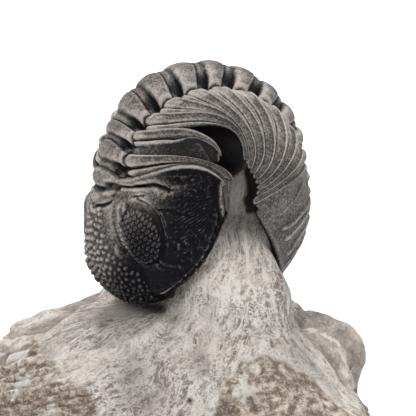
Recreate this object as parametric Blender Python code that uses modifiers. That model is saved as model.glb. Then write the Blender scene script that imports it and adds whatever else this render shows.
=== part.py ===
"""A rolled-up phacopid trilobite, a fossil, on the pillar of limestone it was freed from.

The animal hangs head down on one side of its coil and tail down on the other. Its plates are drawn in the
animal's own frame, in millimetres, with the middle of the coil as origin: x runs from the head side of the
coil to the tail side, z up, and a third number gives the distance to the animal's left, called side.
"""

import math

import bmesh
import bpy
from mathutils import Euler, Vector, noise

MM = 0.001

# The coil and the ground
COIL_CENTRE = (2.6, -0.48, 36.5)   # where the middle of the coil stands over the sawn underside
COIL_YAW = math.radians(25.0)      # how far the animal's left side is turned towards +X

# The rolled body in side view, and its width
FURROW_RADII = (14.5, 13.7, 13.0)  # in the axial furrow: reach to the head side, to the tail side, and up
FLANK_REACH = 16.0                 # from the midline to the pleural tips
AXIS_HALF_WIDTH = 4.7              # from the midline to the axial furrow beside the rings
FLANK_START = 0.99                 # the flanks start just inside the furrow, as a share of its radius
RING_FALL = 2.2                    # the rings fall late from their crest to the furrow: power of the way there
FLANK_FALL = 1 / 3                 # and the flanks are domed: power of the room left inside the furrow

# Plates
PLATE_GAP = 0.3                    # between neighbouring plates
LINING_GAP = 0.5                   # between the plates and the rock inside them
RING_DEPTH = 2.2                   # from the ring crests to the underside of the plate
FLANK_DEPTH = 1.4
TIP_DEPTH = 0.8
SHIELD_DEPTH = 1.6

# Where the rear edge of each ring crosses the midline, in degrees round the coil and in distance from its
# middle: neck ring, then 1 to 11
RING_EDGES = (
    (173.9, 15.4), (158.3, 15.2), (147.6, 15.4), (130.5, 16.1), (113.2, 15.95), (93.8, 15.8),
    (76.2, 15.85), (57.4, 16.05), (40.5, 16.25), (24.3, 16.4), (11.5, 16.5), (1.3, 16.45),
)

# The rear edge of each flank in side view: angle of its start on the axial furrow, then (x, z) of its bend
# and of its tip, for the head and for segments 1 to 11
FLANK_EDGES = (
    (178.5, (-7.1, 6.0), (-2.8, 0.0)),
    (163.5, (-6.4, 5.4), (-1.6, 1.4)),
    (150.0, (-6.4, 9.7), (-3.1, 5.1)),
    (136.2, (1.4, 12.1), (0.3, 3.4)),
    (118.3, (2.0, 10.5), (0.4, 2.6)),
    (100.2, (4.3, 6.8), (0.6, 1.8)),
    (83.8, (6.1, 4.8), (0.7, 1.0)),
    (65.0, (7.1, 2.8), (0.8, 0.2)),
    (45.6, (7.7, 1.7), (0.9, -0.6)),
    (28.3, (7.4, 0.9), (0.9, -1.4)),
    (14.9, (7.2, 0.3), (0.9, -2.2)),
    (4.7, (7.1, -0.3), (0.9, -3.0)),
)
SEGMENTS = 11
# The third flank has sprung away from the second, so its front edge runs on its own
SPRUNG_SEGMENT = 3
SPRUNG_EDGE = (150.0, (1.7, 11.4), (-0.3, 3.1))
SHORT_SEGMENT = 2                  # its flank ends in a free tongue
SHORT_REACH = 0.8                  # how far down the first flank's edge the tongue's front side runs

# Cross-section of a segment, front to rear: (share of the length, height over the ring, over the flank)
SECTION = (
    (0.0, -0.6, -0.4), (0.18, -0.35, -0.1), (0.38, -1.0, -0.45),
    (0.5, -0.15, -0.05), (0.8, 0.1, 0.05), (1.0, -0.3, -0.2),
)
FLANK_SHAPE_FROM = 0.8             # place on the ring where its section starts to turn into the flank's
FLANK_SHAPE_OVER = 0.3             # and over how much of the way it does
FLANK_FADE_FROM = 1.2              # past this place the flank's section grows flatter
FLANK_FADE = 0.5                   # and loses this share of its height up to the tip
AXIAL_FURROW_DEPTH = 0.5
AXIAL_FURROW_PLACE = 0.99
AXIAL_FURROW_WIDTH = 0.09
RING_STATIONS = 4                  # sections drawn from the midline to the axial furrow
FLANK_STATIONS = 7                 # and from there to the tip
STATION_SPREAD = 1.5               # they stand closer together near the furrow

# Shields: rows run from the midline out to the left corner, and each row from the edge that meets the
# thorax to the free margin. The first point of a row lies on that edge, at the place given before the row
# (0 to 1 over the ring, 1 to 2 over the flank), and the others are (x, z, side).
HEAD_CAGE = (
    (0.00, ((-15.9, -1.7, 0.0), (-16.3, -5.7, 0.0), (-16.3, -9.7, 0.0), (-15.4, -13.0, 0.0),
            (-13.4, -15.8, 0.0), (-10.9, -17.8, 0.0), (-7.2, -18.4, 0.0))),
    (0.55, ((-15.5, -1.7, 2.6), (-15.8, -5.7, 2.4), (-15.7, -9.7, 3.4), (-14.8, -12.8, 4.3),
            (-13.0, -15.4, 4.5), (-10.6, -17.5, 4.5), (-7.3, -18.1, 4.3))),
    (1.00, ((-14.6, -2.0, 4.5), (-14.9, -5.7, 4.4), (-14.2, -8.8, 5.5), (-13.1, -11.4, 7.1),
            (-12.0, -13.6, 8.2), (-10.7, -16.1, 8.3), (-7.9, -17.2, 7.8))),
    (1.12, ((-13.7, -2.0, 7.1), (-13.4, -5.6, 7.2), (-12.9, -8.8, 8.0), (-12.3, -11.4, 8.8),
            (-11.3, -13.8, 9.3), (-10.0, -15.7, 9.2), (-8.0, -16.3, 8.9))),
    (1.25, ((-11.6, -1.5, 9.8), (-11.1, -5.2, 10.0), (-10.6, -8.2, 10.4), (-10.2, -10.8, 10.6),
            (-9.6, -13.0, 10.5), (-8.9, -14.6, 10.2), (-8.0, -15.0, 9.9))),
    (1.46, ((-8.5, -0.6, 12.6), (-8.4, -3.9, 12.8), (-8.1, -6.9, 12.7), (-7.7, -9.4, 12.5),
            (-7.4, -11.4, 12.2), (-7.1, -12.6, 12.0), (-6.7, -13.0, 11.8))),
    (1.68, ((-6.0, -0.1, 14.3), (-5.9, -2.4, 14.5), (-5.7, -4.6, 14.3), (-5.4, -6.8, 14.1),
            (-5.1, -8.2, 13.9), (-4.8, -9.2, 13.6), (-4.4, -9.5, 13.4))),
    (1.96, ((-3.5, -0.2, 15.6), (-3.6, -1.0, 15.7), (-3.6, -1.8, 15.7), (-3.4, -2.6, 15.6),
            (-3.2, -3.2, 15.5), (-3.0, -3.6, 15.4), (-2.7, -3.8, 15.3))),
)
TAIL_CAGE = (
    (0.00, ((17.0, -3.1, 0.0), (17.0, -6.2, 0.0), (16.6, -9.4, 0.0), (15.6, -12.2, 0.0),
            (13.9, -14.6, 0.0), (11.9, -16.0, 0.0))),
    (1.00, ((14.8, -2.1, 4.7), (15.1, -5.4, 4.7), (14.8, -8.2, 4.5), (14.0, -10.9, 4.3),
            (12.8, -13.3, 3.8), (11.4, -15.3, 3.3))),
    (1.09, ((13.3, -1.7, 7.4), (13.6, -4.3, 7.7), (13.2, -6.8, 7.7), (12.4, -9.4, 7.5),
            (11.1, -11.6, 7.1), (9.7, -13.5, 6.5))),
    (1.20, ((11.9, -1.3, 10.2), (12.1, -3.4, 10.4), (11.6, -5.4, 10.4), (10.8, -7.5, 10.2),
            (9.5, -9.5, 9.9), (8.0, -11.4, 9.4))),
    (1.35, ((9.8, -1.0, 12.5), (9.8, -2.6, 12.6), (9.2, -4.1, 12.5), (8.4, -6.0, 12.4),
            (7.2, -7.4, 12.1), (6.0, -8.8, 11.6))),
    (1.60, ((6.7, -1.6, 14.5), (6.7, -2.5, 14.5), (6.2, -3.4, 14.5), (5.5, -4.4, 14.3),
            (4.7, -5.3, 14.1), (3.7, -6.2, 13.8))),
    (1.96, ((1.9, -3.3, 15.7), (2.1, -3.5, 15.7), (2.2, -3.6, 15.6), (2.2, -3.8, 15.5),
            (2.1, -3.9, 15.5), (1.8, -4.1, 15.4))),
)
SHIELD_STEPS = 3                   # faces between neighbouring points of a cage row
HEAD_ROW_STEPS = 3                 # and between neighbouring rows
TAIL_ROW_STEPS = 2
UNDERSIDE_SHARES = (0.0, 0.3, 0.6, 0.85, 1.0)  # where along a row the plainer underside has its points

# Ridges (and furrows, below zero) of the shields: height, then middle and width on the cage
NECK_RING = (0.5, 0.4, 0.3)
NECK_FURROW = (-0.9, 0.95, 0.16)
FIRST_RING_FURROW = (-0.5, 1.6, 0.14)
CHEEK_BORDER = (0.25, 0.35, 0.4)
CHEEK_BORDER_FURROW = (-0.6, 0.85, 0.16)
CHEEK_ROW, CHEEK_WIDTH = 3.0, 1.3  # the cheek's border furrow is deepest here
GLABELLA_FURROW = (-0.8, 2.0, 0.28)
GLABELLA_SWELLING = (0.35, 4.2, 1.6)
MARGIN_RIM = (0.3, 6.75, 0.25)
MARGIN_FURROW = (-0.25, 6.3, 0.2)
FRONT_COLUMN = 7.0                 # the head's furrows run out towards its front margin
FRONT_FADE = 1.5
HEAD_AXIS_ROW, HEAD_AXIS_BLEND = 1.7, 0.12
TAIL_AXIS_ROW, TAIL_AXIS_TAPER, TAIL_AXIS_BLEND = 0.95, 0.12, 0.1
TAIL_RING_HEIGHT, TAIL_RING_WAVE, TAIL_RING_LENGTH = 0.5, 0.22, 0.62
TAIL_RIB_WAVE, TAIL_RIB_LENGTH, TAIL_RIB_SLANT, TAIL_RIB_END = 0.16, 0.75, 0.3, 3.5
TAIL_FURROW = (-0.35, 0.15, 0.15)  # its middle counts from the edge of the axis
TAIL_FADE_IN, TAIL_FADE_OUT = 0.6, 5.2

# The eye, a steep dome on the cheek, and the lid that roofs it: middle and size on the head's cage
EYE_ROW, EYE_COLUMN = 3.3, 2.85
EYE_SPAN = (0.9, 1.4)
EYE_HEIGHT = 2.1
LID_ROW = 2.62
LID_SPAN = (0.42, 1.5)
LID_HEIGHT = 1.3
LID_SHIFT = -0.15                  # the lid sits a little higher on the head than the eye
DOME_POWERS = (2.5, 0.6)           # flat top and steep foot

# Pillar and base: how far the rock reaches at each height over the coil's middle, in eight directions
# counted from +X towards +Y: right, back right, back, back left, left, front left, front, front right
STAND_REACHES = (
    (-36.5, (26.0, 27.5, 22.0, 29.5, 31.0, 30.5, 22.0, 29.0)),
    (-33.5, (23.4, 27.0, 22.8, 31.0, 32.0, 31.5, 22.8, 28.5)),
    (-29.5, (22.9, 29.8, 22.5, 31.5, 31.5, 30.0, 21.5, 25.5)),
    (-26.5, (21.6, 29.6, 22.0, 30.5, 30.0, 26.0, 20.0, 22.8)),
    (-23.8, (19.6, 26.5, 20.5, 27.5, 26.8, 20.5, 17.8, 20.5)),
    (-21.5, (17.1, 21.0, 17.6, 24.0, 21.5, 16.5, 16.0, 18.6)),
    (-19.8, (15.2, 14.8, 15.4, 21.0, 14.5, 12.0, 14.6, 17.2)),
    (-19.3, (14.7, 14.2, 14.8, 20.3, 6.6, 6.4, 14.2, 16.8)),
    (-17.2, (12.8, 12.2, 13.6, 17.0, 6.0, 6.4, 13.0, 15.8)),
    (-14.3, (10.9, 10.0, 12.8, 12.0, 6.0, 6.2, 12.2, 14.8)),
    (-10.5, (8.0, 7.6, 12.0, 11.0, 5.6, 5.8, 11.8, 13.0)),
    (-6.5, (4.6, 4.4, 10.6, 10.2, 5.0, 5.4, 11.6, 11.0)),
)
STAND_POINTS = 36
SMOOTH_HEIGHT = -21.0              # the worked pillar is smooth above, the rock below is as it broke
ROUGH_HEIGHT = -27.0

# The filling of the coil
FILLING_PLACES = (0.0, 0.4, 0.75, 0.97, 1.05, 1.14, 1.25, 1.4, 1.58, 1.78, 1.93)
NOTCH_DEPTH = 3.2                  # hollow behind the gap between the second and third flanks
NOTCH_SEAM, NOTCH_REACH = 2.0, 0.9
NOTCH_FROM, NOTCH_OVER = 1.05, 0.2
NECK_SHARE = 0.45                  # size of the neck's end beside the last section of the filling
NECK_MIDDLE = (-1.5, -1.0, 14.7)

LUMP_SIZE = 9.0                    # spacing of the rock's large lumps
LUMP_HEIGHT = 1.5
LEDGE_SIZE = 4.0
LEDGE_HEIGHT = 0.6
LEDGE_FLATNESS = 2.5

FOSSIL_COLOUR = (0.055, 0.050, 0.048, 1.0)
FOSSIL_ROUGHNESS = 0.42
ROCK_COLOUR = (0.46, 0.41, 0.36, 1.0)
ROCK_ROUGHNESS = 0.85
SHARP_ANGLE = math.radians(50)
WELD_DISTANCE = 0.00001


def local(x, z, side):
    """A point of the animal's frame, in millimetres."""
    return Vector((x, -side, z))


def mix(a, b, amount):
    return a + (b - a) * amount


def clamped(share):
    return min(1.0, max(0.0, share))


def spread_over(values, position):
    """The value at a fractional position in a list of numbers."""
    index = min(int(position), len(values) - 2)
    return mix(values[index], values[index + 1], position - index)


def position_of(values, wanted):
    """The fractional position of a number in a rising list."""
    for index, (low, high) in enumerate(zip(values, values[1:])):
        if wanted <= high:
            return index + max(0.0, (wanted - low) / (high - low))
    return len(values) - 1


def furrow_radii(x):
    """Half length and half height of the furrow ellipse on the side of the coil where x lies."""
    return (FURROW_RADII[0] if x < 0 else FURROW_RADII[1]), FURROW_RADII[2]


def outward(point):
    """Direction away from the coil, square to its smooth dome."""
    along, up = furrow_radii(point.x)
    tilt = math.copysign(3 * point.y ** 2 / FLANK_REACH ** 3, point.y)
    return Vector((2 * point.x / along ** 2, tilt, 2 * point.z / up ** 2)).normalized()


def furrow_start(angle):
    """Where a flank edge starts on the furrow ellipse, seen from the side."""
    turn = math.radians(angle)
    along, up = furrow_radii(math.cos(turn))
    radius = FLANK_START / math.hypot(math.cos(turn) / along, math.sin(turn) / up)
    return radius * math.cos(turn), radius * math.sin(turn)


def ring_point(ring_edge, start_angle, s):
    """A point of a ring edge, s from 0 on the midline to 1 in the axial furrow."""
    crest_angle, crest = ring_edge
    angle = math.radians(mix(crest_angle, start_angle, s * s))
    radius = mix(crest, math.hypot(*furrow_start(start_angle)), s ** RING_FALL)
    return local(radius * math.cos(angle), radius * math.sin(angle), AXIS_HALF_WIDTH * s)


def flank_point(edge, t):
    """A point of a flank edge, t from 0 in the axial furrow to 1 at the tip."""
    start_angle, bend, tip = edge
    start = furrow_start(start_angle)
    weights = ((1 - t) ** 2, 2 * t * (1 - t), t * t)
    x, z = (sum(w * p[axis] for w, p in zip(weights, (start, bend, tip))) for axis in (0, 1))
    along, up = furrow_radii(x)
    spread = (x / along) ** 2 + (z / up) ** 2
    side = FLANK_REACH * max(0.0, 1 - spread) ** FLANK_FALL
    return local(x, z, max(AXIS_HALF_WIDTH, side))


def edge_point(index, edge, place, reach=1.0):
    """A point of plate edge number index; place runs 0 to 1 over the ring and 1 to 2 over the flank."""
    if place <= 1:
        return ring_point(RING_EDGES[index], edge[0], place)
    return flank_point(edge, (place - 1) * reach)


def segment_edges(number, place):
    """The front and rear edge points of a thoracic segment."""
    front_edge = SPRUNG_EDGE if number == SPRUNG_SEGMENT else FLANK_EDGES[number - 1]
    reach = SHORT_REACH if number == SHORT_SEGMENT else 1.0
    front = edge_point(number - 1, front_edge, place, reach)
    rear = edge_point(number, FLANK_EDGES[number], place)
    return front, rear


def stations():
    """Places from the midline to the tip where sections are drawn."""
    ring = [step / RING_STATIONS for step in range(RING_STATIONS)]
    flank = [1 + (step / FLANK_STATIONS) ** STATION_SPREAD for step in range(FLANK_STATIONS + 1)]
    return ring + flank


def plate_depth(place):
    """Depth of a segment's underside below its smooth outer face."""
    if place <= 1:
        return mix(RING_DEPTH, FLANK_DEPTH, place ** 2)
    return mix(FLANK_DEPTH, TIP_DEPTH, min(1.0, (place - 1) * 1.2))


def section_height(place, ring_height, flank_height):
    """Height of a section's point, from the ring's shape to the flank's across the axial furrow."""
    on_flank = clamped((place - FLANK_SHAPE_FROM) / FLANK_SHAPE_OVER)
    fade = 1 - FLANK_FADE * max(0.0, place - FLANK_FADE_FROM) / (2 - FLANK_FADE_FROM)
    furrow = AXIAL_FURROW_DEPTH * math.exp(-((place - AXIAL_FURROW_PLACE) / AXIAL_FURROW_WIDTH) ** 2)
    return mix(ring_height, flank_height * fade, on_flank) - furrow


def segment_section(number, place):
    """The closed outline of a segment at one place: outer face front to rear, then the underside."""
    front, rear = segment_edges(number, place)
    inset = PLATE_GAP / 2 / (rear - front).length
    outline = []
    for share, ring_height, flank_height in SECTION:
        point = mix(front, rear, mix(inset, 1 - inset, share))
        outline.append(point + outward(point) * section_height(place, ring_height, flank_height))
    for share in (1 - inset, inset):
        point = mix(front, rear, share)
        outline.append(point - outward(point) * plate_depth(place))
    return outline


def cubic(p0, p1, p2, p3, t):
    """A smooth curve's point between p1 and p2."""
    return 0.5 * (2 * p1 + (p2 - p0) * t + (2 * p0 - 5 * p1 + 4 * p2 - p3) * t * t
                  + (3 * p1 - p0 - 3 * p2 + p3) * t ** 3)


def along_row(row, position):
    """The point at a fractional position on the smooth curve through a row of points."""
    index = min(int(position), len(row) - 2)
    before = row[index - 1] if index else 2 * row[0] - row[1]
    after = row[index + 2] if index + 2 < len(row) else 2 * row[-1] - row[-2]
    return cubic(before, row[index], row[index + 1], after, position - index)


def cage_point(cage, edge_index, row, column):
    """A point of a shield's smooth face, with its first column held to the thorax's edge."""
    edge = FLANK_EDGES[edge_index]
    rows = []
    for place, points in cage:
        rows.append([edge_point(edge_index, edge, place)] + [local(*point) for point in points])
    point = along_row([along_row(line, column) for line in rows], row)
    if column < 1:
        place = spread_over([place for place, _ in cage], row)
        drawn = along_row([line[0] for line in rows], row)
        point += (edge_point(edge_index, edge, place) - drawn) * (1 - column) ** 2
    return point


def dome(row, column, middle, span):
    """A steep-sided dome on the cage, 1 at its middle and 0 outside its span."""
    distance = math.hypot((row - middle[0]) / span[0], (column - middle[1]) / span[1])
    return max(0.0, 1 - distance ** DOME_POWERS[0]) ** DOME_POWERS[1]


def ridge(value, height, middle, width):
    """Height of a soft ridge across one direction of a cage."""
    return height * math.exp(-((value - middle) / width) ** 2)


def head_relief(row, column):
    """Rings, furrows, borders and eye of the head shield."""
    on_axis = 1 / (1 + math.exp((row - HEAD_AXIS_ROW) / HEAD_AXIS_BLEND))
    rings = sum(ridge(column, *band) for band in (NECK_RING, NECK_FURROW, FIRST_RING_FURROW))
    cheek_border = ridge(column, *CHEEK_BORDER)
    cheek_border += ridge(column, *CHEEK_BORDER_FURROW) * ridge(row, 1.0, CHEEK_ROW, CHEEK_WIDTH)
    furrow = ridge(row, *GLABELLA_FURROW) * clamped((FRONT_COLUMN - column) / FRONT_FADE)
    swelling = on_axis * ridge(column, *GLABELLA_SWELLING)
    eye = EYE_HEIGHT * dome(row, column, (EYE_ROW, EYE_COLUMN), EYE_SPAN)
    lid = LID_HEIGHT * dome(row, column, (LID_ROW, EYE_COLUMN + LID_SHIFT), LID_SPAN)
    margin = ridge(column, *MARGIN_RIM) + ridge(column, *MARGIN_FURROW)
    return mix(cheek_border, rings, on_axis) + furrow + swelling + max(eye, lid) + margin


def tail_relief(row, column):
    """Axis rings, ribs and border of the tail shield."""
    axis_row = TAIL_AXIS_ROW - TAIL_AXIS_TAPER * column
    on_axis = 1 / (1 + math.exp((row - axis_row) / TAIL_AXIS_BLEND))
    fade = min(1.0, column / TAIL_FADE_IN) * max(0.0, 1 - column / TAIL_FADE_OUT)
    ring = TAIL_RING_HEIGHT + TAIL_RING_WAVE * math.cos(2 * math.pi * column / TAIL_RING_LENGTH)
    rib_turn = 2 * math.pi * (column / TAIL_RIB_LENGTH + TAIL_RIB_SLANT * row)
    rib = TAIL_RIB_WAVE * math.cos(rib_turn) * max(0.0, 1 - row / TAIL_RIB_END)
    return (mix(rib, ring, on_axis) + ridge(row - axis_row, *TAIL_FURROW)) * fade


SHIELDS = {
    "cephalon": (HEAD_CAGE, 0, head_relief),
    "pygidium": (TAIL_CAGE, SEGMENTS, tail_relief),
}


def shield_section(name, row):
    """The closed outline of a shield along one cage row: outer face, then the underside back again."""
    cage, edge_index, relief = SHIELDS[name]
    columns = len(cage[0][1])
    steps = columns * SHIELD_STEPS
    base = [cage_point(cage, edge_index, row, step / SHIELD_STEPS) for step in range(steps + 1)]
    base[0] += (base[1] - base[0]).normalized() * PLATE_GAP / 2
    outer = []
    for step, point in enumerate(base):
        outer.append(point + outward(point) * relief(row, step / SHIELD_STEPS))
    depth = shield_depth(cage, row)
    inner = []
    for share in UNDERSIDE_SHARES[::-1]:
        point = base[round(share * steps)]
        inner.append(point - outward(point) * depth)
    return outer + inner


def shield_depth(cage, row):
    """Depth of a shield's underside, thinner at its corners."""
    return mix(SHIELD_DEPTH, TIP_DEPTH, (row / (len(cage) - 1)) ** 3)


def loft(name, sections, cap_start=False, cap_end=False):
    """A mesh object in metres through closed outlines of the same number of points."""
    mesh = bpy.data.meshes.new(name)
    work = bmesh.new()
    rings = [[work.verts.new(point * MM) for point in outline] for outline in sections]
    for ring, following in zip(rings, rings[1:]):
        for index in range(len(ring)):
            after = (index + 1) % len(ring)
            work.faces.new((ring[index], following[index], following[after], ring[after]))
    if cap_start:
        work.faces.new(rings[0])
    if cap_end:
        work.faces.new(rings[-1][::-1])
    work.to_mesh(mesh)
    work.free()
    return bpy.data.objects.new(name, mesh)


def half_body(name, sections):
    """A loft from the midline to the left tip, mirrored to the animal's right."""
    for point in sections[0]:
        point.y = 0.0
    item = loft(name, sections, cap_end=True)
    modifier = item.modifiers.new("other_half", 'MIRROR')
    modifier.use_axis = (False, True, False)
    modifier.use_clip = True
    modifier.merge_threshold = WELD_DISTANCE
    return item


def make_segment(number):
    """A thoracic segment: half ring, ring and banded flanks in one plate."""
    sections = [segment_section(number, place) for place in stations()]
    return half_body(f"thoracic_segment_{number:02d}", sections)


def make_head():
    """The head shield. Its rows are turned round, so that they too run towards the tail side."""
    rows = (len(HEAD_CAGE) - 1) * HEAD_ROW_STEPS
    sections = [shield_section("cephalon", step / HEAD_ROW_STEPS)[::-1] for step in range(rows + 1)]
    return half_body("cephalon", sections)


def make_tail():
    """The tail shield."""
    rows = (len(TAIL_CAGE) - 1) * TAIL_ROW_STEPS
    sections = [shield_section("pygidium", step / TAIL_ROW_STEPS) for step in range(rows + 1)]
    return half_body("pygidium", sections)


def shield_lining(name, place):
    """Points under a shield, from the edge that meets the thorax to its free margin."""
    cage, edge_index, _ = SHIELDS[name]
    row = position_of([start for start, _ in cage], place)
    points = []
    for share in UNDERSIDE_SHARES:
        point = cage_point(cage, edge_index, row, share * len(cage[0][1]))
        depth = shield_depth(cage, row) if share else max(shield_depth(cage, row), plate_depth(place))
        points.append(point - outward(point) * (depth + LINING_GAP))
    return points


def thorax_lining(place):
    """Points under the thorax, one below each seam, with a deep notch below the sprung gap."""
    points = []
    for index in range(1, SEGMENTS):
        point = edge_point(index, FLANK_EDGES[index], place)
        notch = ridge(index, NOTCH_DEPTH, NOTCH_SEAM, NOTCH_REACH) * clamped((place - NOTCH_FROM) / NOTCH_OVER)
        points.append(point - outward(point) * (plate_depth(place) + LINING_GAP + notch))
    return points


def filling_section(place):
    """The closed outline of the rock inside the coil at one place from the midline to the tips."""
    head = shield_lining("cephalon", place)[::-1]
    return head + thorax_lining(place) + shield_lining("pygidium", place)


def make_filling():
    """Rock inside the rolled body, up to the narrow neck between cheek corner and pleural tips."""
    sections = [filling_section(place) for place in FILLING_PLACES]
    last = sections[-1]
    middle = sum(last, Vector()) / len(last)
    neck_middle = local(*NECK_MIDDLE)
    neck = [neck_middle + (point - middle) * NECK_SHARE for point in last]
    for point in neck:
        point.y = neck_middle.y
    return half_body("filling", sections + [neck])


def stand_reach(reaches, direction):
    """How far the rock reaches in a direction, 0 to 8 round the stand, on a smooth closed curve."""
    count = len(reaches)
    index = int(direction)
    around = [reaches[(index + step) % count] for step in (-1, 0, 1, 2)]
    return cubic(*around, direction - index)


def broken(point, height):
    """How far the rock's lumps and ledges push a point of the stand outwards."""
    share = clamped((SMOOTH_HEIGHT - height) / (SMOOTH_HEIGHT - ROUGH_HEIGHT))
    flattened = Vector((point.x, point.y, point.z * LEDGE_FLATNESS))
    lump = noise.noise(point / LUMP_SIZE) * LUMP_HEIGHT
    ledge = noise.noise(flattened / LEDGE_SIZE) * LEDGE_HEIGHT
    return share * (lump + ledge)


def stand_outline(height, reaches):
    """The stand's outline at one height. It lies square to the ground, so it is turned against the coil."""
    outline = []
    for index in range(STAND_POINTS):
        share = index / STAND_POINTS
        angle = 2 * math.pi * share - COIL_YAW
        direction = Vector((math.cos(angle), math.sin(angle), 0.0))
        point = direction * stand_reach(reaches, share * len(reaches)) + Vector((0.0, 0.0, height))
        outline.append(point + direction * broken(point, height))
    return outline


def make_stand():
    """The base and the pillar, up into the filling."""
    outlines = [stand_outline(height, reaches)[::-1] for height, reaches in STAND_REACHES]
    return loft("matrix", outlines, cap_start=True, cap_end=True)


def make_matrix(collection, cutters):
    """The rock in one piece: stand and filling joined."""
    stand = make_stand()
    filling = make_filling()
    cutters.objects.link(filling)
    filling.hide_render = True
    filling.display_type = 'WIRE'
    join = stand.modifiers.new("filling", 'BOOLEAN')
    join.operation = 'UNION'
    join.solver = 'EXACT'
    join.object = filling
    collection.objects.link(stand)
    return stand, filling


def make_material(name, colour, roughness):
    material = bpy.data.materials.new(name)
    material.use_nodes = True
    shader = material.node_tree.nodes["Principled BSDF"]
    shader.inputs["Base Color"].default_value = colour
    shader.inputs["Roughness"].default_value = roughness
    shader.inputs["Metallic"].default_value = 0.0
    return material


def finish(item, material, parent):
    """Give a piece its material and soft shading, and hang it on the animal's frame."""
    item.data.materials.append(material)
    item.data.shade_smooth()
    item.data.set_sharp_from_angle(angle=SHARP_ANGLE)
    item.parent = parent


def main():
    for item in list(bpy.data.objects):
        bpy.data.objects.remove(item)
    collection = bpy.data.collections.new("phacopid_trilobite")
    cutters = bpy.data.collections.new("cutters")
    for group in (collection, cutters):
        bpy.context.scene.collection.children.link(group)
    animal = bpy.data.objects.new("animal_frame", None)
    animal.location = Vector(COIL_CENTRE) * MM
    animal.rotation_euler = Euler((0.0, 0.0, COIL_YAW))
    collection.objects.link(animal)

    fossil = make_material("fossil_calcite", FOSSIL_COLOUR, FOSSIL_ROUGHNESS)
    rock = make_material("limestone_matrix", ROCK_COLOUR, ROCK_ROUGHNESS)
    plates = [make_head(), *(make_segment(number) for number in range(1, SEGMENTS + 1)), make_tail()]
    for plate in plates:
        finish(plate, fossil, animal)
        collection.objects.link(plate)
    for piece in make_matrix(collection, cutters):
        finish(piece, rock, animal)


main()
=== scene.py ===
"""Looks of a rolled-up fossil trilobite on its pillar of limestone.

Every plate is made again as a fine mesh on the same surfaces as the solids, and the rock as a fine copy of
its solid. Surfaces are drawn in the animal's own frame in millimetres, with the middle of the coil as origin:
x runs from the head side of the coil to the tail side, z up, and side is the distance to the animal's left.
Arrays hold (x, -side, z).
"""

import math

import bpy
import numpy as np
from mathutils import Euler, Matrix, Vector, kdtree


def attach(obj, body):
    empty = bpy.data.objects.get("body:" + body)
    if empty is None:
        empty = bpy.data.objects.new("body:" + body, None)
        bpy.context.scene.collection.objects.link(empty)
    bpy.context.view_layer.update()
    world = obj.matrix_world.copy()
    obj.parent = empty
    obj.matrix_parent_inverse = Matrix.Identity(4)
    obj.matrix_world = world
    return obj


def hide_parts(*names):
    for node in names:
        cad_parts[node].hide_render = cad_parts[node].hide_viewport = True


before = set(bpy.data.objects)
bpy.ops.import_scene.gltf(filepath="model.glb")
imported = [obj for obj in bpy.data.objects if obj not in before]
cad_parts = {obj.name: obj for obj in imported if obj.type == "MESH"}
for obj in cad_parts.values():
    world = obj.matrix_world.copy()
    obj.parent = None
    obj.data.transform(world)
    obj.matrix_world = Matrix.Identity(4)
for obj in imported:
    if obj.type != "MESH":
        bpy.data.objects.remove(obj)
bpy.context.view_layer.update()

MM = 0.001
MIRROR = np.array((1.0, -1.0, 1.0))  # to the animal's other side

# The coil and its smooth surfaces, as in the solids
COIL_CENTRE = (2.6, -0.48, 36.5)
COIL_YAW = math.radians(25.0)
COIL_TURN = np.array(Euler((0.0, 0.0, COIL_YAW)).to_matrix())
FURROW_RADII = (14.5, 13.7, 13.0)
FLANK_REACH = 16.0
AXIS_HALF_WIDTH = 4.7
RIGHT_TUCK = 0.085  # share by which the animal's right flank lies closer
RING_DEPTH, FLANK_DEPTH, TIP_DEPTH, SHIELD_DEPTH = 2.2, 1.4, 0.8, 1.6  # of the plates
RING_EDGES = (  # angle and radius of each edge's crest on the midline
    (173.9, 15.4), (158.3, 15.2), (147.6, 15.4), (130.5, 16.1), (113.2, 15.95), (93.8, 15.8),
    (76.2, 15.85), (57.4, 16.05), (40.5, 16.25), (24.3, 16.4), (11.5, 16.5), (1.3, 16.45),
)
FLANK_EDGES = (  # angle in the axial furrow, and bend and tip as (x, z)
    (178.5, (-7.1, 6.0), (-2.8, 0.0)), (163.5, (-6.4, 5.4), (-1.6, 1.4)),
    (150.0, (-6.4, 9.7), (-3.1, 5.1)), (136.2, (1.4, 12.1), (0.3, 3.4)),
    (118.3, (2.0, 10.5), (0.4, 2.6)), (100.2, (4.3, 6.8), (0.6, 1.8)),
    (83.8, (6.1, 4.8), (0.7, 1.0)), (65.0, (7.1, 2.8), (0.8, 0.2)),
    (45.6, (7.7, 1.7), (0.9, -0.6)), (28.3, (7.4, 0.9), (0.9, -1.4)),
    (14.9, (7.2, 0.3), (0.9, -2.2)), (4.7, (7.1, -0.3), (0.9, -3.0)),
)
SEGMENTS = 11
SPRUNG_SEGMENT = 3
SPRUNG_EDGE = (150.0, (1.7, 11.4), (-0.3, 3.1))
EDGE_REACHES = (1.0, 1.0, 0.97, 1.0, 1.0, 0.98, 0.96, 0.94, 0.925, 0.92, 0.93, 1.0)  # plate edges stop short
SHORT_SEGMENT = 2
SHORT_REACH = 0.8

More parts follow.
